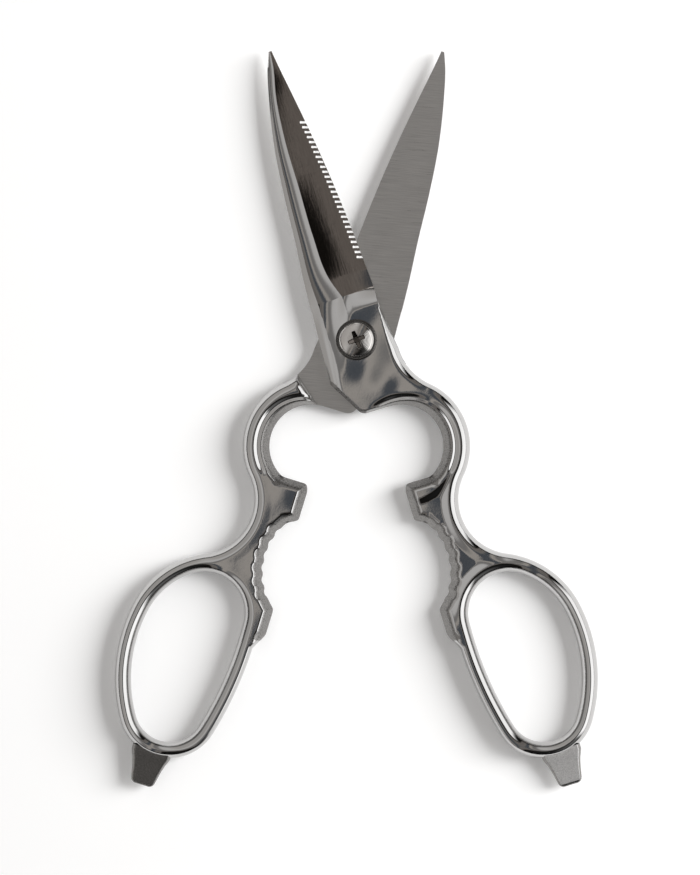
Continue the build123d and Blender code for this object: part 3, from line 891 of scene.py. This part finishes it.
def add_driver_tip(shell):
    """The flat screwdriver blade on the end of the ring, its corners eased and its faces sanded."""
    half = SECTION_SHARES + [(-a, b) for a, b in SECTION_SHARES[::-1]]
    section = half + [(-a, -b) for a, b in half]
    count = len(section)
    u, v = DRIVER_END.real, DRIVER_END.imag
    verts = [(u, v, 0.0)]
    for along, width, thick in DRIVER_ROWS:
        verts += [(u + a * width / 2, v + along, b * thick / 2) for a, b in section]
    verts = np.array(verts)
    faces = [(0, 1 + (k + 1) % count, 1 + k) for k in range(count)]
    faces += band_faces(len(DRIVER_ROWS), count, 1)
    normals = np.zeros_like(verts)
    for face in faces:
        a, b, c = verts[list(face[:3])]
        normals[list(face)] += np.cross(b - a, c - a)
    normals /= np.maximum(np.linalg.norm(normals, axis=1), 1e-9)[:, None]
    if np.sum(normals * (verts - verts.mean(axis=0))) < 0:
        normals = -normals
        faces = [face[::-1] for face in faces]
    level = [abs(normals[list(face), 2].mean()) for face in faces]
    shell.add(verts, normals, faces, [SANDED if z > 0.9 else GROUND for z in level])


# Screw, nut and washer
def lathe(shell, profile, count):
    """A turned surface from rows of radius, height and the slant of its normal in degrees."""
    turn = circle(1, count)
    verts, normals = [], []
    for radius, z, slant in profile:
        tilt = radians(slant)
        verts += [(radius * t.real, radius * t.imag, z) for t in turn]
        normals += [(cos(tilt) * t.real, cos(tilt) * t.imag, sin(tilt)) for t in turn]
    faces = band_faces(len(profile), count)
    shell.add(verts, normals, faces, [0] * len(faces))


HEAD_FOOT, HEAD_TOP = 5.8, 8.56
HEAD_R, HEAD_RISE = 4.65, 1.3
JOURNAL_R, JOURNAL_LOW = 3.0, 3.45
THREAD_R, THREAD_ROOT_R, THREAD_PITCH = 2.5, 2.28, 0.5
THREAD_END_R = 2.1
RIM_START, RIM_RUN, RIM_DROP = 3.75, 0.92, 0.55
CROSS_DEPTH, CROSS_HALF, CROSS_STEEP = 1.75, 0.40, 7.0
CROSS_FLOOR, CROSS_FLOOR_SLOPE, CROSS_END, CROSS_END_SLOPE = 0.75, 0.45, 2.15, 3.5
CROSS_TURN = np.exp(-1j * radians(22.0))


def head_height(p):
    """The domed head of the screw, and the four wings of its recess."""
    r = np.abs(p)
    ball = (HEAD_R**2 + HEAD_RISE**2) / (2 * HEAD_RISE)
    dome = HEAD_TOP - ball + np.sqrt(ball**2 - r**2)
    rim = np.clip((r - RIM_START) / RIM_RUN, 0, 0.995)
    dome = dome - RIM_DROP * (1 - np.sqrt(1 - rim**2))
    q = p * CROSS_TURN
    wings = np.full(np.shape(r), HEAD_TOP + 1)
    for along, across in ((np.abs(q.real), np.abs(q.imag)), (np.abs(q.imag), np.abs(q.real))):
        slope = np.maximum(along - CROSS_FLOOR, 0) * CROSS_FLOOR_SLOPE
        end = np.maximum(along - CROSS_END, 0) * CROSS_END_SLOPE
        wall = np.maximum(across - CROSS_HALF, 0) * CROSS_STEEP
        wings = soft_min(wings, HEAD_TOP - CROSS_DEPTH + slope + end + wall, 0.12)
    turning_marks = 0.01 * np.sin(r * 19 + np.angle(p) * 2)
    return soft_min(dome + turning_marks * (r < 4.3), wings, 0.14)


def turned_screw():
    shell = Shell()
    count = 240
    bands = ((0.04, 2.9, 80), (2.95, 4.2, 22), (4.25, HEAD_R, 16))
    radii = np.concatenate([np.linspace(*band) for band in bands])
    flat = (radii[:, None] * circle(1, count)[None, :]).ravel()
    within = HEAD_R - 0.03
    inner = np.where(np.abs(flat) > within, flat * (within / np.abs(flat)), flat)
    z = head_height(flat)
    faces = flipped(band_faces(len(radii), count)) + [tuple(range(count))]
    middles = np.array([flat[list(face[:4])].mean() for face in faces])
    bare = HEAD_TOP - 0.056 * np.abs(middles) ** 2
    # Faces sunk in the cross recess take the dark recess colour, which is painted shade.
    cross_painted_shade = (np.abs(middles) < 3.2) & (head_height(middles) < bare - 0.2)
    normals = surface_normals(inner, head_height, 0.012)
    shell.add(raised(flat, z), normals, faces, np.where(cross_painted_shade, 1, 0))
    head = [(HEAD_R - 0.15, HEAD_FOOT, -60), (HEAD_R, HEAD_FOOT + 0.15, -30)]
    head += [(HEAD_R, HEAD_FOOT + 0.3, 0), (HEAD_R, z[-1], 0)]
    lathe(shell, head, 120)
    lathe(shell, [(JOURNAL_R, HEAD_FOOT, -90), (HEAD_R - 0.15, HEAD_FOOT, -90)], 120)
    lathe(shell, [(JOURNAL_R, JOURNAL_LOW, 0), (JOURNAL_R, HEAD_FOOT, 0)], 96)
    lathe(shell, [(THREAD_R, JOURNAL_LOW, -90), (JOURNAL_R, JOURNAL_LOW, -90)], 96)
    thread = [(THREAD_END_R, 0, -60), (THREAD_R, 0.38, -30)]
    for turn in range(6):
        low = 0.4 + THREAD_PITCH * turn
        thread += [(THREAD_R, low, 0), (THREAD_R, low + 0.1, 30), (THREAD_ROOT_R, low + 0.3, -30)]
    lathe(shell, thread + [(THREAD_R, JOURNAL_LOW, 0)], 96)
    end = [(0.02, 0.05, -90), (0.6, 0.03, -80), (1.2, 0.0, -90), (THREAD_END_R, 0.0, -90)]
    lathe(shell, end, 96)
    return shell


NUT_FLAT_R, NUT_CHAMFER_R, NUT_MOUTH_R, NUT_BORE_R = 4.0, 3.95, 2.75, 2.53
NUT_LOW, NUT_TOP, NUT_MOUTH_DEPTH = 0.1, 2.0, 0.25


def hex_nut():
    """The lock nut: a hexagon, chamfered at the end that shows, with an eased bore."""
    shell = Shell()
    count = 240
    angles = np.linspace(0, 2 * pi, count, endpoint=False)
    round_way = circle(1, count)
    reach = NUT_FLAT_R / np.cos((angles + pi / 6) % (pi / 3) - pi / 6)
    mouth = NUT_LOW + NUT_MOUTH_DEPTH

    def end_level(radius):
        return NUT_LOW + np.maximum(radius - NUT_CHAMFER_R, 0) * 0.6

    rows = [NUT_MOUTH_R + (reach - NUT_MOUTH_R) * share for share in (0, 0.05, 0.75, 0.9, 1)]
    verts = np.concatenate([raised(row * round_way, end_level(row)) for row in rows])
    slants = np.concatenate([0.5 * (row > NUT_CHAMFER_R + 0.01) * round_way for row in rows])
    normals = raised(slants, -1.0)
    faces = band_faces(len(rows), count)
    shell.add(verts, normals / np.linalg.norm(normals, axis=1)[:, None], faces, [0] * len(faces))
    side = np.floor((angles + pi / 6) / (pi / 3)) * (pi / 3)
    add_strip(shell, reach * round_way, end_level(reach), NUT_TOP, raised(np.exp(1j * side), 0), 0)
    lathe(shell, [(NUT_BORE_R, mouth, -90), (NUT_MOUTH_R, NUT_LOW, -45)], 120)
    lathe(shell, [(NUT_BORE_R, mouth, -10), (NUT_BORE_R, NUT_TOP, -10)], 120)
    lathe(shell, [(NUT_BORE_R, NUT_TOP, 90), (3.9, NUT_TOP, 90)], 120)
    return shell


WASHER_LOW, WASHER_R, WASHER_BORE_R = 5.3, 4.7, 3.05


def flat_washer():
    shell = Shell()
    rows = [
        (WASHER_BORE_R, WASHER_LOW + 0.05, -135),
        (WASHER_BORE_R + 0.05, WASHER_LOW, -90),
        (WASHER_R - 0.08, WASHER_LOW, -90),
        (WASHER_R, WASHER_LOW + 0.06, 0),
        (WASHER_R, HEAD_FOOT - 0.06, 0),
        (WASHER_R - 0.08, HEAD_FOOT, 90),
        (WASHER_BORE_R + 0.05, HEAD_FOOT, 90),
        (WASHER_BORE_R, HEAD_FOOT - 0.05, 135),
    ]
    lathe(shell, rows, 120)
    return shell


def place_here(v):
    return v


def open_half(v, side):
    """A closed half's points in the open shears; the rear half is turned over, with side -1."""
    c, s = cos(OPEN_HALF), sin(OPEN_HALF)
    x, y, z = v[:, 0], v[:, 1], v[:, 2]
    return np.column_stack([side * (x * c - y * s), x * s + y * c, THICK + side * z])


def place_front(v):
    return open_half(v, 1)


def place_rear(v):
    return open_half(v, -1)


# Materials
def nodes_of(name):
    material = bpy.data.materials.new(name)
    material.use_nodes = True
    tree = material.node_tree
    return material, tree, tree.nodes["Principled BSDF"]


def add_node(tree, kind, **values):
    node = tree.nodes.new(kind)
    for key, value in values.items():
        if key in node.inputs:
            node.inputs[key].default_value = value
        else:
            setattr(node, key, value)
    return node


def mapped(tree, socket, span, result, **kind):
    """A socket's value, carried from one span to another."""
    node = add_node(tree, "ShaderNodeMapRange", **kind)
    for key, value in zip(("From Min", "From Max", "To Min", "To Max"), (*span, *result)):
        node.inputs[key].default_value = value
    tree.links.new(socket, node.inputs["Value"])
    return node.outputs["Result"]


def steel(name, colour, rough, grain, grain_share, bump, stretch=None, spots=0.0, metallic=1.0):
    """Steel with a colour that drifts a little, and roughness, bump and spots from a fine grain."""
    material, tree, shader = nodes_of(name)
    link = tree.links.new
    shader.inputs["Metallic"].default_value = metallic
    where = add_node(tree, "ShaderNodeTexCoord")
    slow = add_node(tree, "ShaderNodeTexNoise", Scale=90.0, Detail=3.0)
    link(where.outputs["Object"], slow.inputs["Vector"])
    fine = add_node(tree, "ShaderNodeTexNoise", Scale=grain, Detail=6.0, Roughness=0.65)
    if stretch:
        scales, angle = stretch
        turn = add_node(tree, "ShaderNodeMapping", vector_type="TEXTURE")
        turn.inputs["Scale"].default_value = [1 / value for value in scales]
        turn.inputs["Rotation"].default_value = (0, 0, angle)
        link(where.outputs["UV"], turn.inputs["Vector"])
        link(turn.outputs["Vector"], fine.inputs["Vector"])
    else:
        link(where.outputs["Object"], fine.inputs["Vector"])
    mixed = add_node(tree, "ShaderNodeMix", data_type="RGBA")
    mixed.inputs["A"].default_value = (*[c * 0.93 for c in colour], 1)
    mixed.inputs["B"].default_value = (*colour, 1)
    link(slow.outputs["Fac"], mixed.inputs["Factor"])
    shade = add_node(tree, "ShaderNodeVectorMath", operation="SCALE")
    link(mixed.outputs["Result"], shade.inputs["Vector"])
    link(mapped(tree, fine.outputs["Fac"], (0.3, 0.7), (1 - spots, 1)), shade.inputs["Scale"])
    link(shade.outputs["Vector"], shader.inputs["Base Color"])
    roughness = (rough * (1 - grain_share), rough * (1 + grain_share))
    link(mapped(tree, fine.outputs["Fac"], (0.25, 0.75), roughness), shader.inputs["Roughness"])
    lift = add_node(tree, "ShaderNodeBump", Strength=bump, Distance=0.00005)
    link(fine.outputs["Fac"], lift.inputs["Height"])
    link(lift.outputs["Normal"], shader.inputs["Normal"])
    return material


UP_BLADE, ACROSS_BLADE = ((60, 6, 1), 0.0), ((4, 150, 1), radians(-12))
WHITE_STEEL, GREY_STEEL, BROWN_STEEL = (0.95, 0.94, 0.93), (0.36, 0.35, 0.34), (0.52, 0.48, 0.45)

polished = steel("steel_polished", (0.575, 0.57, 0.565), 0.07, 1400, 0.3, 0.10)
bevel = steel("steel_hollow_ground", BROWN_STEEL, 0.06, 3.0, 0.3, 0.2, UP_BLADE, spots=0.18)
ground = steel("steel_ground", GREY_STEEL, 0.30, 2600, 0.35, 1.0, spots=0.4)
brushed = steel(
    "steel_cross_brushed", (0.78, 0.765, 0.745), 0.33, 3.0, 0.25, 0.3, ACROSS_BLADE, spots=0.26
)
sanded = steel("steel_sanded", WHITE_STEEL, 0.36, 3200, 0.2, 0.7, spots=0.4, metallic=0.7)
# Painted shade: a darker copy of the sanded steel, for the tip of the rear half.
rear_tip_painted_shade_steel = steel("steel_sanded_painted_shade", (0.30, 0.29, 0.28), 0.36, 3200, 0.2, 0.9, spots=0.5)
notch = steel("steel_notch", (0.98, 0.98, 0.98), 0.5, 2500, 0.2, 0.3, metallic=0.15)
# Turned steel of the seat, coloured dark as painted shade for the gap round the screw head and the
# nut.
seat_painted_shade_steel = steel("steel_turned_painted_shade", (0.24, 0.235, 0.23), 0.25, 1800, 0.3, 0.3)
screw_steel = steel("steel_screw", (0.62, 0.60, 0.58), 0.09, 1500, 0.4, 0.25)
# Painted shade: the cross recess of the screw is coloured dark for the shade inside it.
recess_painted_shade_steel = steel("steel_recess_painted_shade", (0.13, 0.115, 0.105), 0.25, 1500, 0.4, 0.3)
washer_steel = steel("steel_washer", (0.4, 0.4, 0.4), 0.3, 2000, 0.3, 0.4)

# Pieces
front_materials = [polished, bevel, ground, brushed, sanded, notch, seat_painted_shade_steel]
front = forge_half("front", True).build("front_blade_and_handle", place_front, front_materials)
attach(front, "front")
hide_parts("front_half")
rear_materials = [polished, bevel, ground, brushed, rear_tip_painted_shade_steel, notch, seat_painted_shade_steel]
rear = forge_half("rear", False).build("rear_blade_and_handle", place_rear, rear_materials)
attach(rear, "rear")
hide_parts("rear_half")

for name, made, node, material, slot in (
    ("screw_with_cross_recess", turned_screw(), "pivot_screw", screw_steel, "screw_steel"),
    ("turned_washer", flat_washer(), "thrust_washer", washer_steel, "washer_steel"),
    ("chamfered_nut", hex_nut(), "lock_nut", screw_steel, "screw_steel"),
):
    piece = made.build(name, place_here, [material, recess_painted_shade_steel])
    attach(piece, "rear")
    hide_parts(node)

# Floor
floor_mesh = bpy.data.meshes.new("floor")
floor_mesh.from_pydata([(-3, -3, 0), (3, -3, 0), (3, 3, 0), (-3, 3, 0)], [], [(0, 1, 2, 3)])
floor = bpy.data.objects.new("floor", floor_mesh)
bpy.context.scene.collection.objects.link(floor)
paper, paper_tree, paper_shader = nodes_of("paper")
paper_shader.inputs["Roughness"].default_value = 0.9
paper_shader.inputs["Emission Color"].default_value = (1, 1, 1, 1)
paper_shader.inputs["Emission Strength"].default_value = 0.12
paper_noise = add_node(paper_tree, "ShaderNodeTexNoise", Scale=60.0)
paper_mix = add_node(paper_tree, "ShaderNodeMix", data_type="RGBA")
paper_mix.inputs["A"].default_value = (0.90, 0.90, 0.90, 1)
paper_mix.inputs["B"].default_value = (0.92, 0.92, 0.92, 1)
paper_tree.links.new(paper_noise.outputs["Fac"], paper_mix.inputs["Factor"])
paper_tree.links.new(paper_mix.outputs["Result"], paper_shader.inputs["Base Color"])
floor_mesh.materials.append(paper)

# Light of the room: a ramp by how far a direction turns to the light, dimmed towards the horizon,
# and a box light on the right
TOWARD_LIGHT = (-0.90, 0.43, 0)
ROOM_STOPS = (
    (-1.0, (0.25, 0.25, 0.25)),
    (-0.60, (0.02, 0.02, 0.02)),
    (-0.228, (0.008, 0.007, 0.006)),
    (-0.214, (0.25, 0.23, 0.215)),
    (-0.175, (0.18, 0.165, 0.155)),
    (-0.115, (0.24, 0.225, 0.21)),
    (-0.075, (0.085, 0.095, 0.11)),
    (-0.019, (0.085, 0.095, 0.11)),
    (0.003, (0.46, 0.43, 0.40)),
    (0.045, (0.45, 0.42, 0.39)),
    (0.09, (0.23, 0.225, 0.22)),
    (0.17, (0.27, 0.26, 0.255)),
    (0.25, (0.62, 0.61, 0.60)),
    (0.40, (0.66, 0.65, 0.64)),
    (0.62, (0.50, 0.48, 0.46)),
    (1.0, (0.48, 0.47, 0.46)),
)
world = bpy.data.worlds.new("studio")
bpy.context.scene.world = world
world.use_nodes = True
sky = world.node_tree
where = add_node(sky, "ShaderNodeTexCoord").outputs["Generated"]


def soft_step(socket, span, result=(0.0, 1.0)):
    return mapped(sky, socket, span, result, interpolation_type="SMOOTHSTEP")


def combined(kind, operation, result, sockets):
    """The named result of a math node whose inputs are linked to the given sockets."""
    node = add_node(sky, kind, operation=operation)
    for key, socket in sockets.items():
        sky.links.new(socket, node.inputs[key])
    return node.outputs[result]


to_light = add_node(sky, "ShaderNodeVectorMath", operation="DOT_PRODUCT")
to_light.inputs[1].default_value = TOWARD_LIGHT
sky.links.new(where, to_light.inputs[0])
turned_to_light = mapped(sky, to_light.outputs["Value"], (-1.0, 1.0), (0.0, 1.0))
ramp = add_node(sky, "ShaderNodeValToRGB")
elements = ramp.color_ramp.elements
for i, (turned, colour) in enumerate(ROOM_STOPS):
    element = elements[i] if i < 2 else elements.new((turned + 1) / 2)
    element.position = (turned + 1) / 2
    element.color = (*colour, 1)
sky.links.new(turned_to_light, ramp.inputs["Fac"])
split = add_node(sky, "ShaderNodeSeparateXYZ")
sky.links.new(where, split.inputs["Vector"])
to_right, up_page, upward = split.outputs
aside = combined("ShaderNodeMath", "ABSOLUTE", "Value", {0: up_page})
box_light = soft_step(to_right, (0.54, 0.64), (0.0, 1.5))
for fade in (soft_step(aside, (0.66, 0.48)), soft_step(upward, (0.02, 0.16), (0.3, 1.0))):
    box_light = combined("ShaderNodeMath", "MULTIPLY", "Value", {0: box_light, 1: fade})
horizon = soft_step(upward, (0.08, 0.26), (0.2, 1.0))
room = {0: ramp.outputs["Color"], "Scale": horizon}
dimmed = combined("ShaderNodeVectorMath", "SCALE", "Vector", room)
lit = combined("ShaderNodeVectorMath", "ADD", "Vector", {0: dimmed, 1: box_light})
sky.links.new(lit, sky.nodes["Background"].inputs["Color"])

# Key light, which throws the soft shadow to the left
key_place, key_aim = Vector((0.95, 0.2, 0.66)), Vector((0, -0.02, 0))
key_data = bpy.data.lights.new("key", "AREA")
key_data.shape = "RECTANGLE"
key_data.size, key_data.size_y = 0.5, 0.8
key_data.energy = 16
key = bpy.data.objects.new("key", key_data)
key.location = key_place
key.rotation_euler = (key_aim - key_place).to_track_quat("-Z", "Y").to_euler()
key.visible_glossy = False
bpy.context.scene.collection.objects.link(key)

# Camera, straight above, with the photograph's height in view at the mating plane
PHOTO_HEIGHT = 875
MM_A_PIXEL = 0.265
SENSOR = 24
CAMERA_HEIGHT = 0.95
camera_data = bpy.data.cameras.new("camera")
camera_data.sensor_fit = "VERTICAL"
camera_data.sensor_height = SENSOR
camera_data.lens = SENSOR * (CAMERA_HEIGHT - THICK * MM) / (PHOTO_HEIGHT * MM_A_PIXEL * MM)
camera_data.clip_start = 0.05
camera_data.clip_end = 10
camera = bpy.data.objects.new("camera", camera_data)
camera.location = (-0.0017, -0.0258, CAMERA_HEIGHT)
bpy.context.scene.collection.objects.link(camera)
bpy.context.scene.camera = camera
bpy.context.scene.view_settings.view_transform = "Standard"
